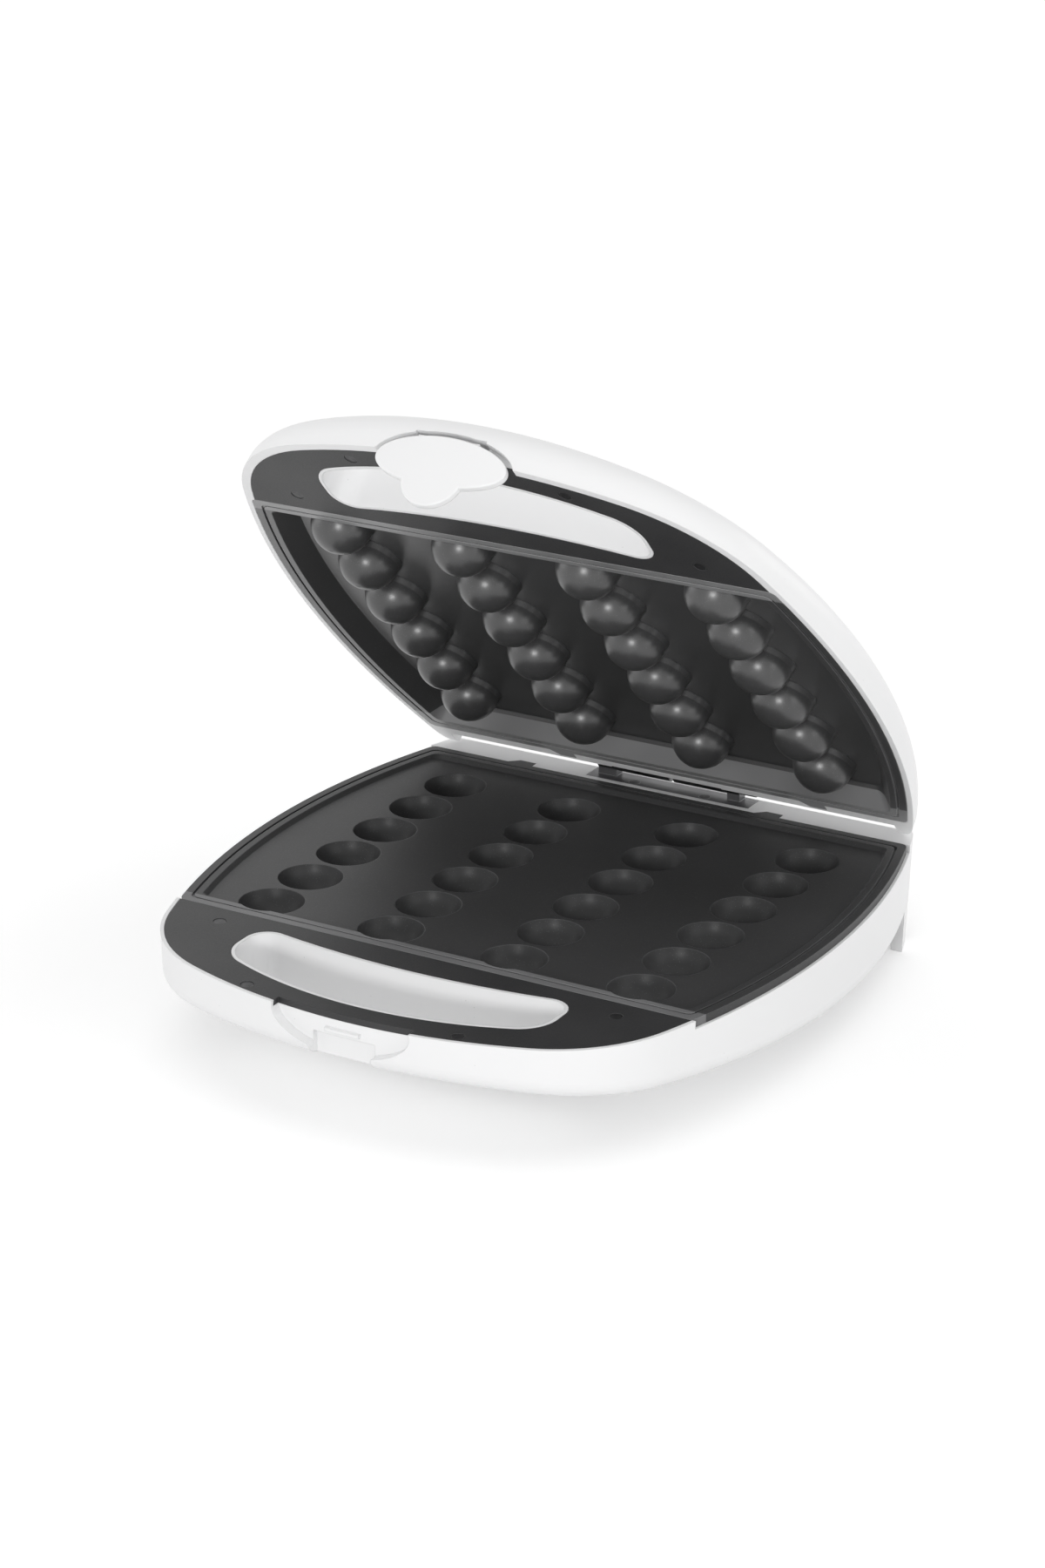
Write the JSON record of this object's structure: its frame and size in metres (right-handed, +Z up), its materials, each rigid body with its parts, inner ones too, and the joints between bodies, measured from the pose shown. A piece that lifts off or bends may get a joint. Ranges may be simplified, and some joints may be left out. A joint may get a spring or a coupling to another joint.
{
  "type": "maamoul maker",
  "caption": "Countertop cooker with a cup plate and a domed plate in hinged white housings, oval latch and grip openings.",
  "frame": {"origin": "on the table, under the middle of the whole object with its lid half open", "axes": "+Z up, front with the grips towards -Y, hinge towards +Y"},
  "size_m": [0.311, 0.3364, 0.3008],
  "materials": {
    "white_plastic": "smooth semi-gloss moulding",
    "dark_plastic": "fine satin texture",
    "coated_plate": "dark non-stick coating",
    "element_steel": "dull oxidised tube",
    "reflector_sheet": "bright mill sheet",
    "screw_steel": "blackened zinc",
    "hinge_steel": "satin nickel plating",
    "black_cap": "satin",
    "foot_rubber": "matt",
    "gland_rubber": "satin",
    "ceramic": "matt moulding",
    "control_metal": "satin",
    "red_lens": "clear tinted lens",
    "green_lens": "clear tinted lens"
  },
  "bodies": {
    "base": {"lower_housing": "white_plastic", "lower_bezel": "dark_plastic", "lower_bezel_screws": "screw_steel", "lower_plate": "coated_plate", "lower_heating_element": "element_steel", "lower_reflector": "reflector_sheet", "lower_reflector_screws": "screw_steel", "terminal_block": "ceramic", "cord_gland": "gland_rubber", "front_feet": "foot_rubber", "hinge_bracket": "hinge_steel", "hinge_bracket_screws": "screw_steel", "hinge_pin": "hinge_steel", "hinge_pin_cap": "black_cap"},
    "lid": {"upper_housing": "white_plastic", "upper_bezel": "dark_plastic", "upper_plate": "coated_plate", "upper_domes": "coated_plate", "upper_heating_element": "element_steel", "upper_reflector": "reflector_sheet", "upper_reflector_screws": "screw_steel", "upper_bezel_screws": "screw_steel", "hinge_leaf": "hinge_steel", "hinge_leaf_screws": "screw_steel", "thermostat": "control_metal", "thermal_fuse": "control_metal", "power_lamp": "red_lens", "ready_lamp": "green_lens", "latch_pin": "hinge_steel"},
    "latch": {"latch": "white_plastic"}
  },
  "joints": [
    {"name": "lid_hinge", "type": "hinge", "parent": "base", "child": "lid", "pos_m": [0, 0.15104, 0.0643], "axis": [-1, 0, 0], "range_deg": [-46.2, 48.8]},
    {"name": "latch_pivot", "type": "hinge", "parent": "lid", "child": "latch", "pos_m": [0, -0.06686, 0.29052], "axis": [-1, 0, 0], "range_deg": [-5.5, 14]}
  ]
}
